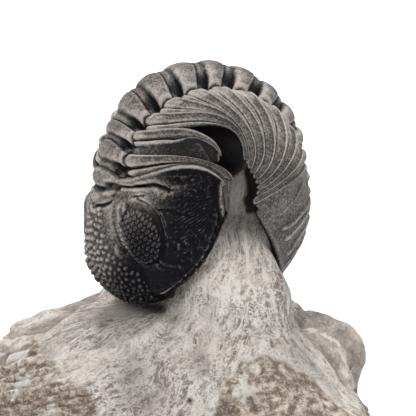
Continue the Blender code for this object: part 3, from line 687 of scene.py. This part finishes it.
def lens_pattern(grid, rows, cols):
    """Height of the lenses, domes in ring grooves on a six-sided lattice, and where they stand."""
    middle = cage_points(HEAD_CAGE, 0, [EYE_MIDDLE])[0]
    up = unit(cage_points(HEAD_CAGE, 0, [(EYE_MIDDLE[0], EYE_MIDDLE[1] - 1)])[0] - middle)
    normal = outward(middle)
    across = unit(np.cross(normal, up))
    up = np.cross(across, normal)
    u, v = ((grid - middle) @ axis / LENS_SPACING for axis in (across, up))
    height = math.sqrt(3) / 2
    best = np.inf
    for shift_u, shift_v in ((0.0, 0.0), (0.5, height)):
        du = u - shift_u - np.round(u - shift_u)
        dv = v - shift_v - np.round((v - shift_v) / (2 * height)) * 2 * height
        best = np.minimum(best, np.hypot(du, dv))
    best = best * LENS_SPACING
    dome = 0.13 * bump(best, 0.155, 0.055) - 0.07 * bump(best, 0, 0.08)
    lens = dome - 0.13 * rise(best, 0.205, 0.07)
    inside = fall(eye_distance(rows, cols), 1.02, 0.05)
    return lens * inside, inside


def warped(stops, count):
    """Count numbers over (value, density) stops, closer together where the density is high."""
    values, densities = np.array(stops).T
    fine = np.linspace(values[0], values[-1], 2000)
    weight = np.cumsum(np.interp(fine, values, densities))
    weight = (weight - weight[0]) / (weight[-1] - weight[0])
    return np.interp(np.linspace(0, 1, count), weight, fine)


def shield_grids(cage, edge_index, row_stops, column_stops):
    """Rows, columns and points of a shield's smooth face."""
    rows, cols = warped(*row_stops), warped(*column_stops)
    grid = cage_grid(cage, edge_index, rows, cols)
    return *np.meshgrid(rows, cols, indexing="ij"), grid


def add_strokes(relief, grid, cage, edge_index, strokes):
    """Relief with a ridge or furrow along each path."""
    for width, height, *path in strokes:
        relief += height * stroke(grid, cage_points(cage, edge_index, path), width)
    return relief


def make_head():
    """The head shield as a fine mesh."""
    rows, cols, grid = shield_grids(HEAD_CAGE, 0, HEAD_ROWS, HEAD_COLUMNS)
    tucked = CHIN_TUCK * bump(rows, 1.5, 1) * rise(cols, 5.6, 1.2)
    grid -= outward(grid) * tucked[..., None]
    relief = add_strokes(head_relief(rows, cols), grid, HEAD_CAGE, 0, HEAD_STROKES)
    outer = grid + outward(grid) * relief[..., None]
    normals = grid_normals(box_blur(outer, 3))
    warts = wart_heights(grid, rows, cols)
    lenses, on_eye = lens_pattern(grid, rows, cols)
    fine = warts + lenses + 0.02 * fractal(outer, 0.55, 3, 3) * (1 - on_eye)
    fine = fine + head_texture(rows, cols, outer) + 0.06 * fractal(outer, 2.4, 3, 9) * (1 - on_eye)
    outer += normals * fine[..., None]
    edge_line = stroke(grid, cage_points(HEAD_CAGE, 0, HEAD_MARGIN), 0.12)
    outer += normals * 0.12 * edge_line[..., None]
    # the margin line is lighter: painted highlight
    tone = np.maximum(head_tone(rows, cols), 0.6 * edge_line)
    return finish_shield("cephalon", HEAD_CAGE, grid, outer, rows, relief + fine - WART_SHADE * warts, tone)


def finish_shield(name, cage, grid, outer, rows, relief, tone):
    """Adds a shield's underside and makes its mesh."""
    depth = SHIELD_DEPTH + (TIP_DEPTH - SHIELD_DEPTH) * (rows[:, 0] / (len(cage) - 1)) ** 3
    last = grid.shape[1] - 1
    under = np.stack([grid[:, round(share * last)] for share in np.linspace(1.0, 0.0, 9)], 1)
    under -= outward(under) * depth[:, None, None]
    return finish_plate(name, np.hstack([outer, under]), relief, tone, SHIELD_CELLS)


# Ridges of the tail shield's left field, given like the head's lines
TAIL_STROKES = (
    (0.2, 0.14, (3.5, 0.88), (4.1, 1.8), (4.75, 4.12)),
    (0.4, 0.36, (1.2, 0.7), (2.2, 1.5), (3.3, 3.1), (4.0, 4.7)),
    (0.4, 0.4, (1.2, 1.6), (2.4, 2.6), (3.12, 3.75), (3.4, 5.0)),
    (0.36, 0.38, (1.15, 2.5), (1.9, 3.3), (2.5, 4.2), (2.4, 5.2)),
    (0.32, 0.3, (1.1, 3.3), (1.45, 4.1), (1.7, 4.7), (1.7, 5.4)),
)


def tail_relief(rows, cols):
    """Large relief of the tail shield: axis rings, ribs and the edge."""
    axis_width = 0.95 - 0.12 * cols
    on_axis = 1 / (1 + np.exp((rows - axis_width) / 0.08))
    fade = smooth(cols / 0.35) * np.clip(1 - cols / 5.2, 0, 1)
    ring = 0.5 + 0.26 * np.cos(2 * math.pi * cols / 0.62)
    furrow = -0.4 * bump(rows, axis_width + 0.15, 0.13)
    return (ring * on_axis + furrow) * fade + 0.12 * bump(cols, 5.85, 0.2)


def make_tail():
    """The tail shield as a fine mesh."""
    rows, cols, grid = shield_grids(TAIL_CAGE, SEGMENTS, TAIL_ROWS, TAIL_COLUMNS)
    relief = add_strokes(tail_relief(rows, cols), grid, TAIL_CAGE, SEGMENTS, TAIL_STROKES)
    relief += 0.05 * fractal(grid, 2, 4, 21)
    relief -= 0.35 * (1 - rise(cols, 0, 0.12))
    outer = grid + outward(grid) * relief[..., None]
    return finish_shield("pygidium", TAIL_CAGE, grid, outer, rows, relief, np.full(relief.shape, TAIL_TONE))


def to_world(points):
    """Points of the animal's frame as world points, both in millimetres."""
    return points @ COIL_TURN.T + np.array(COIL_CENTRE)


def nearness(places, line, reach):
    """1 at a line of points, falling softly to 0 at its reach."""
    reach = np.broadcast_to(reach, len(line))
    near = np.zeros(len(places))
    for point, size in zip(line, reach):
        near = np.maximum(near, 1 - np.linalg.norm(places - point, axis=1) / size)
    return smooth(near)


def with_mirror(line):
    """A line on the animal's left and its mirror image, as world points."""
    return to_world(np.concatenate([line, line * MIRROR]))


def opening():
    """Middles and radii along the opening behind the plate that sprang out of line."""
    places = np.linspace(1.3, 1.82, 24)
    upper = edge_points(2, SPRUNG_EDGE, places)
    lower = edge_points(2, FLANK_EDGES[2], places)
    lowest = edge_points(1, FLANK_EDGES[1], places)
    lower = np.where(places[:, None] > 1.72, lowest, lower)
    middle = (upper + lower) / 2
    radius = np.linalg.norm(upper - lower, axis=1) / 2 + 0.5
    radius = radius + 2.2 - 1.7 * rise(places, 1.6, 0.2)
    return with_mirror(middle - outward(middle) * 2.6), np.concatenate([radius, radius])


def rock_mesh():
    """A fine mesh of the rock's solid, with the filling blended in."""
    item = add_object("fine_matrix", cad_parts["matrix"].data.copy())
    remesh = item.modifiers.new("remesh", 'REMESH')
    remesh.mode = 'VOXEL'
    remesh.voxel_size = ROCK_CELL * MM
    blend = item.modifiers.new("blend", 'SMOOTH')
    blend.factor = 0.5
    blend.iterations = 6
    bpy.context.view_layer.update()
    evaluated = item.evaluated_get(bpy.context.evaluated_depsgraph_get())
    mesh = bpy.data.meshes.new_from_object(evaluated)
    item.modifiers.clear()
    item.data = mesh
    return item


# Where the rock broke instead of being worked, as world coordinates in millimetres
LEFT_BREAK = (  # (x, height)
    (-22.0, 14.5), (-19.6, 13.5), (-17.1, 11.3), (-14.2, 9.3), (-12.1, 7.5), (-11.4, 5.5), (-10.0, -3.0),
)
RIGHT_BREAK = (  # (x, height)
    (2.5, -3.0), (4.5, 5.0), (6.4, 9.9), (8.5, 11.2), (11.3, 12.6), (14.9, 12.2), (18.4, 10.9), (21.3, 8.5),
    (24.1, 5.6), (27.0, 3.0),
)
CONE_EDGE = (  # beside the right hump: (height, x)
    (1.8, 27.0), (3.2, 26.1), (4.8, 25.1), (6.2, 24.7), (7.6, 24.1), (10.0, 22.8), (12.1, 21.3), (14.6, 18.9),
    (17.0, 16.6),
)
BACK_EDGE = (  # (x, y)
    (-22.0, -9.0), (-19.6, -7.1), (-17.8, -5.1), (-15.6, -0.8), (-13.5, 4.3), (-9.0, 6.5), (6.0, 6.5),
    (16.0, 8.0),
)
# A pit shown only as a spot of painted shade
ROCK_PIT = (1.4, -22.1, 7.0)
WORN_RIDGE = ((-17.1, -14.2, 11.3), (-14.2, -14.6, 12.0), (-11.4, -15.3, 12.6), (-7.8, -14.9, 13.7),
              (-4.3, -14.7, 15.0), (-2.2, -11.7, 16.7))


def polyline(corners, spacing):
    """Points about a spacing apart along straight lines between corners."""
    corners = np.array(corners)
    counts = 2 + (np.linalg.norm(np.diff(corners, axis=0), axis=1) / spacing).astype(int)
    return np.concatenate([np.linspace(*ends) for ends in zip(corners, corners[1:], counts)])


def around_neck(places):
    """Direction in degrees and distance of places from the pillar's middle, seen from above."""
    x, y = places[:, 0] - NECK[0], places[:, 1] - NECK[1]
    return np.degrees(np.arctan2(y, x)), np.hypot(x, y)


def streak_places(places, wobble):
    """Coordinates for the rock's streaks, which fan out from the neck and bend to the left of it."""
    turn, away = around_neck(places)
    slope = np.hypot(away, places[:, 2] - TOP_HEIGHT)
    bend = SWIRL * slope * fall(turn, 0, 90) * rise(turn, -185, 75)
    swirled = np.radians(turn) + bend + 0.05 * wobble
    return np.column_stack([np.cos(swirled) * 16.0, np.sin(swirled) * 16.0, slope * 0.32 + 0.3 * wobble])


def rock_breaks(places, wobble):
    """1 where the rock is broken on the left, on the right and behind, and the way past the worked cone."""
    x, y, height = places.T
    left = fall(height, on_curve(LEFT_BREAK, x) + 0.8 * wobble, 1.2)
    right = fall(height, on_curve(RIGHT_BREAK, x) + 0.8 * wobble, 0.9)
    past_cone = x - on_curve(CONE_EDGE, height) + 0.15 * wobble
    beside = smooth(past_cone / 0.5 + 0.5) * rise(y, -6, 3)
    behind = smooth((y - on_curve(BACK_EDGE, x) + 1.2 * wobble) / 2.5)
    behind = np.maximum(behind, beside) * fall(height, 19.5 + 1.2 * wobble, 3)
    return left, right, behind, past_cone


def rock_push(places):
    """How far the rock's surface is pushed outwards, and its values for colouring."""
    x, y, height = places.T
    turn, away = around_neck(places)
    wobble = fractal(places, 5, 3, 41)
    flow = streak_places(places, wobble)
    left, right, behind, past_cone = rock_breaks(places, wobble)
    rough = np.clip(left + right + behind, 0, 1)
    strata = height - 0.3 * x + 0.12 * y + 0.5 * wobble
    ledges = np.abs(strata - np.floor(strata) - 0.5) * 2
    push = 0.8 * left * (ledges - 0.5) + left * 0.35 * fractal(places * (0.4, 0.4, 1.5), 1.3, 3, 50)
    push += right * (0.35 * fractal(places, 2.2, 4, 55) + 0.1 * value_noise(places, 0.7, 56))
    push += behind * (0.7 * fractal(places, 6, 4, 40) - 0.2)
    push += (1 - rough) * (0.2 * fractal(flow, 2.6, 4, 60) + 0.2 * wobble)
    push += 0.55 * nearness(places, polyline(WORN_RIDGE, 1.0), 1.7)
    carved = fall(turn, 24, 6) * rise(turn, -60, 40) * rise(away, 8, 5)
    carved = carved * (0.35 + 0.65 * rise(height, 3, 5)) * fall(height, 20, 4)
    crease = bump(past_cone, 0.9, 0.6) * rise(y, -4, 3) * fall(y, 10, 2)
    # far marks the rock behind, which its material lightens as painted light; raised is painted lighter on
    # ridges and darker in grooves
    values = {"raised": push, "rough": rough, "far": np.clip(behind, 0, 1), "flow": flow}
    return push - CARVING * carved - CREASE_DEPTH * crease, values


def hollows(places):
    """1 at the opening behind the third plate, and 1 at the gap round the tail and the last tips."""
    hole = nearness(places, *opening())
    tail_edge = cage_grid(TAIL_CAGE, SEGMENTS, np.array([5.95]), np.linspace(0, 6, 40))[0]
    tips = np.array([edge_points(i, FLANK_EDGES[i], [1.9])[0] for i in range(6, SEGMENTS + 1)])
    return hole, nearness(places, with_mirror(np.concatenate([tail_edge, tips])), GAP_REACH)


def make_rock():
    """The rock: smooth and streaked where it was worked, broken in ledges and lumps elsewhere."""
    item = rock_mesh()
    mesh = item.data
    places, normals = (np.zeros(len(mesh.vertices) * 3) for _ in range(2))
    mesh.vertices.foreach_get("co", places)
    mesh.vertices.foreach_get("normal", normals)
    places, normals = places.reshape(-1, 3) / MM, normals.reshape(-1, 3)
    height = places[:, 2]
    push, values = rock_push(places)
    push = np.clip(push, -3.5 * rise(height, -0.6, 4), 1.0 - 0.85 * rise(height, 16, 3))
    hole, gap = hollows(places)
    inward = unit(to_world(np.array(FILLING_MIDDLE)) - places)
    moved = places + normals * push[:, None] + inward * (HOLE_DEPTH * hole + GAP_DEPTH * gap)[:, None]
    moved[:, 2] = np.where(height < 0.25, 0.0, np.maximum(moved[:, 2], 0.0))
    mesh.vertices.foreach_set("co", (moved * MM).astype(np.float32).ravel())
    # painted shade: near black at the opening behind the sprung plate, in the gap round the tail and the last
    # tips, and at a pit; shaded darkens the pillar high under the coil and the neck, also as painted shade
    pit = nearness(places, [ROCK_PIT], 0.7)
    away = around_neck(places)[1]
    shaded = 0.14 * rise(height, 13, 4) * fall(away, 14, 4) + 0.78 * rise(height, 26, 5)
    dark = np.clip(hole * 2.6 + 2.2 * gap + 1.5 * pit + shaded, 0, 1)
    keep_values(mesh, dark=dark, **values)
    mesh.shade_smooth()
    mesh.update()
    return item


class Nodes:
    """Short calls for building a material's nodes."""

    def __init__(self, name):
        self.material = bpy.data.materials.new(name)
        self.material.use_nodes = True
        self.tree = self.material.node_tree
        self.shader = self.tree.nodes["Principled BSDF"]
        self.place = self.add("ShaderNodeTexCoord", {}).outputs["Object"]

    def fill(self, node, inputs):
        """Sets a node's inputs to numbers or links them to other nodes' outputs."""
        for key, value in inputs.items():
            if isinstance(value, bpy.types.NodeSocket):
                self.tree.links.new(value, node.inputs[key])
            else:
                node.inputs[key].default_value = value
        return node

    def add(self, kind, inputs, **settings):
        node = self.tree.nodes.new(kind)
        for key, value in settings.items():
            setattr(node, key, value)
        return self.fill(node, inputs)

    def noise(self, scale, detail=4.0, roughness=0.6, place=None):
        inputs = {"Vector": place or self.place, "Scale": scale, "Detail": detail, "Roughness": roughness}
        return self.add("ShaderNodeTexNoise", inputs).outputs["Fac"]

    def stretched(self, factors):
        return self.add("ShaderNodeMapping", {"Vector": self.place, "Scale": factors}).outputs["Vector"]

    def attribute(self, name, output="Fac"):
        return self.add("ShaderNodeAttribute", {}, attribute_name=name).outputs[output]

    def between(self, value, low, high, new_low=0.0, new_high=1.0):
        inputs = dict(enumerate((value, low, high, new_low, new_high)))
        return self.add("ShaderNodeMapRange", inputs, interpolation_type='SMOOTHSTEP').outputs["Result"]

    def math(self, operation, a, b=0.0):
        return self.add("ShaderNodeMath", {0: a, 1: b}, operation=operation).outputs[0]

    def threads(self, noise):
        """0 on the fine lines where a noise crosses its middle, and more beside them."""
        return self.math('ABSOLUTE', self.math('SUBTRACT', noise, 0.5))

    def colours(self, amount, a, b):
        inputs = {"Factor": amount, "A": a, "B": b}
        return self.add("ShaderNodeMix", inputs, data_type='RGBA').outputs["Result"]

    def coats(self, body, *rows):
        """A colour with coats on it: (value, low, high, cover at low, cover at high, colour)."""
        for *span, coat in rows:
            body = self.colours(self.between(*span), body, coat)
        return body

    def bump(self, height, distance, strength=1.0, **below):
        inputs = {"Height": height, "Distance": distance, "Strength": strength, **below}
        return self.add("ShaderNodeBump", inputs).outputs["Normal"]


def rgb(red, green, blue):
    return (red, green, blue, 1.0)


def fossil_material():
    """Dark calcite, greyer and duller where it is rubbed. Its lower head is black, partly in its own colour
    and partly as painted shade; painted shade also makes hollows, furrows and the plates' undersides near
    black, and raised ridges are lighter, partly from wear and partly as a painted highlight.
    """
    n = Nodes("fossil_calcite")
    raised, tone = n.attribute("raised"), n.attribute("tone")
    patches = n.noise(300.0, 5.0)
    grain = n.noise(3200.0, 4.0, 0.75)
    dark = n.colours(tone, rgb(0.002, 0.0018, 0.003), rgb(0.05, 0.045, 0.042))
    light = n.colours(tone, rgb(0.14, 0.128, 0.135), rgb(0.44, 0.395, 0.36))
    # lighter on raised ridges: partly wear, partly a painted highlight
    wear_and_highlight = n.between(raised, -0.08, 0.24, 0.0, 0.9)
    spans = (patches, 0.36, 0.66, -0.07, 0.09), (tone, 0.0, 0.7, -0.36, 0.0), (grain, 0.38, 0.62, -0.23, 0.27)
    for span in spans:
        wear_and_highlight = n.math('ADD', wear_and_highlight, n.between(*span))
    body = n.colours(wear_and_highlight, dark, light)
    fine = n.bump(grain, 0.0003, 0.9)
    n.fill(n.shader, {
        # near black where the surface lies below its surroundings: painted shade in hollows, furrows and on
        # the undersides
        "Base Color": n.colours(n.between(raised, -0.26, -0.06), rgb(0.006, 0.0055, 0.007), body),
        "Roughness": n.between(patches, 0.3, 0.7, 0.4, 0.6),
        "Specular IOR Level": 0.1,
        "Normal": n.bump(n.noise(900.0), 0.0004, 0.8, Normal=fine),
    })
    return n.material


def rock_material():
    """Light limestone: pale grey with fine streaks where it was worked, brown and beige where it broke.
    Painted shade darkens its grooves, the hollows round the fossil, a pit, the pillar's top and the neck;
    painted light lightens its ridges and the rock behind.
    """
    n = Nodes("limestone_matrix")
    raised, rough, far, dark = (n.attribute(name) for name in ("raised", "rough", "far", "dark"))
    flow = n.attribute("flow", "Vector")
    clouds = n.noise(90.0, 6.0, 0.62)
    blotches = n.noise(750.0, 6.0, 0.75)
    lumps = n.noise(190.0, 7.0, 0.68)
    grain = n.noise(2300.0, 4.0, 0.75)
    streaks = n.noise(1.3, 8.0, 0.78, flow)
    scratches = n.noise(700.0, 6.0, 0.7, n.stretched((1.0, 1.0, 0.45)))
    veins = n.threads(n.noise(0.5, 6.0, 0.72, flow))
    threads = n.threads(n.noise(230.0, 5.0, 0.7))
    layers = n.threads(n.noise(120.0, 6.0, 0.7, n.stretched((0.6, 0.6, 1.7))))
    cracks = n.threads(n.noise(260.0, 6.0, 0.75, n.stretched((0.5, 0.5, 1.6))))
    white, shade = rgb(1.0, 0.945, 0.88), rgb(0.2, 0.16, 0.13)
    worked = n.coats(
        n.colours(n.between(clouds, 0.4, 0.6), rgb(0.34, 0.29, 0.25), rgb(0.76, 0.675, 0.59)),
        (scratches, 0.37, 0.44, 0.6, 0.0, shade),
        (scratches, 0.54, 0.6, 0.0, 0.85, white),
        (streaks, 0.39, 0.46, 0.9, 0.0, shade),
        (streaks, 0.525, 0.575, 0.0, 1.0, white),
        (veins, 0.004, 0.022, 1.0, 0.0, white),
        (threads, 0.004, 0.018, 1.0, 0.0, white),
        (layers, 0.0, 0.016, 0.9, 0.0, white),
    )
    broken = n.coats(
        n.colours(n.between(blotches, 0.41, 0.6), rgb(0.27, 0.2, 0.15), rgb(0.86, 0.73, 0.61)),
        (cracks, 0.0, 0.02, 0.8, 0.0, rgb(0.12, 0.09, 0.07)),
        (lumps, 0.54, 0.62, 0.0, 1.0, white),
    )
    # the rock behind is lightened towards off-white: painted light on its lit faces
    broken = n.colours(n.math('MULTIPLY', far, 0.4), broken, rgb(0.97, 0.91, 0.85))
    body = n.coats(
        n.colours(rough, worked, broken),
        # darker in grooves as painted shade, lighter on ridges as painted highlight
        (raised, -0.5, 0.05, 0.65, 0.0, rgb(0.2, 0.165, 0.14)),
        (raised, 0.3, 0.7, 0.0, 0.6, white),
        (grain, 0.54, 0.66, 0.0, 0.4, shade),
        (grain, 0.36, 0.45, 0.5, 0.0, white),
    )
    n.fill(n.shader, {
        # dark: painted shade at the opening, the tail gap, a pit, the pillar's top and the neck
        "Base Color": n.colours(dark, body, rgb(0.012, 0.01, 0.01)),
        "Roughness": n.between(grain, 0.3, 0.7, 0.72, 0.92),
        "Specular IOR Level": 0.25,
        "Normal": n.bump(streaks, 0.001, Normal=n.bump(grain, 0.0006)),
    })
    return n.material


def wear(item, material, node):
    """Gives a piece its material and its place in the frame."""
    item.data.materials.clear()
    item.data.materials.append(material)
    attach(item, "root")
    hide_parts(node)


def make_floor():
    """A wide pale floor."""
    bpy.ops.mesh.primitive_plane_add(size=FLOOR_SIZE)
    floor = bpy.context.object
    floor.name = "floor"
    n = Nodes("pale_floor")
    n.fill(n.shader, {"Base Color": rgb(0.93, 0.93, 0.93), "Roughness": 0.9})
    floor.data.materials.append(n.material)


def make_lights():
    """Plain soft studio light from suns and a pale room."""
    for name, towards, power, spread in SUNS:
        lamp = bpy.data.lights.new(name, 'SUN')
        lamp.energy = power
        lamp.angle = math.radians(spread)
        add_object(name, lamp).rotation_euler = Vector(towards).to_track_quat('Z', 'Y').to_euler()
    world = bpy.data.worlds.new("room")
    world.use_nodes = True
    background = world.node_tree.nodes["Background"].inputs
    background["Color"].default_value = rgb(1.0, 1.0, 1.0)
    background["Strength"].default_value = ROOM_LIGHT
    bpy.context.scene.world = world


def make_camera():
    """A long lens at the photo's angle."""
    back = Vector((0.0, -math.cos(VIEW_ELEVATION), math.sin(VIEW_ELEVATION)))
    right = Vector((1.0, 0.0, 0.0))
    up = back.cross(right)
    middle = Vector(COIL_CENTRE) * MM + (right * FRAME_SHIFT[0] + up * FRAME_SHIFT[1]) * MM
    camera = bpy.data.cameras.new("camera")
    camera.lens = LENS
    camera.sensor_width = SENSOR
    distance = FRAME_WIDTH * MM * LENS / SENSOR
    camera.clip_end = 20.0  # in metres, past the floor's far edge
    item = add_object("camera", camera)
    axes = Matrix((right, up, back)).transposed().to_4x4()
    item.matrix_world = Matrix.Translation(middle + back * distance) @ axes
    bpy.context.scene.camera = item
    bpy.context.scene.view_settings.view_transform = 'Standard'


def main():
    """Builds the scene."""
    fossil = fossil_material()
    wear(make_head(), fossil, "cephalon")
    for number in range(1, SEGMENTS + 1):
        wear(make_segment(number), fossil, f"thoracic_segment_{number:02d}")
    wear(make_tail(), fossil, "pygidium")
    wear(make_rock(), rock_material(), "matrix")
    make_floor()
    make_lights()
    make_camera()


main()
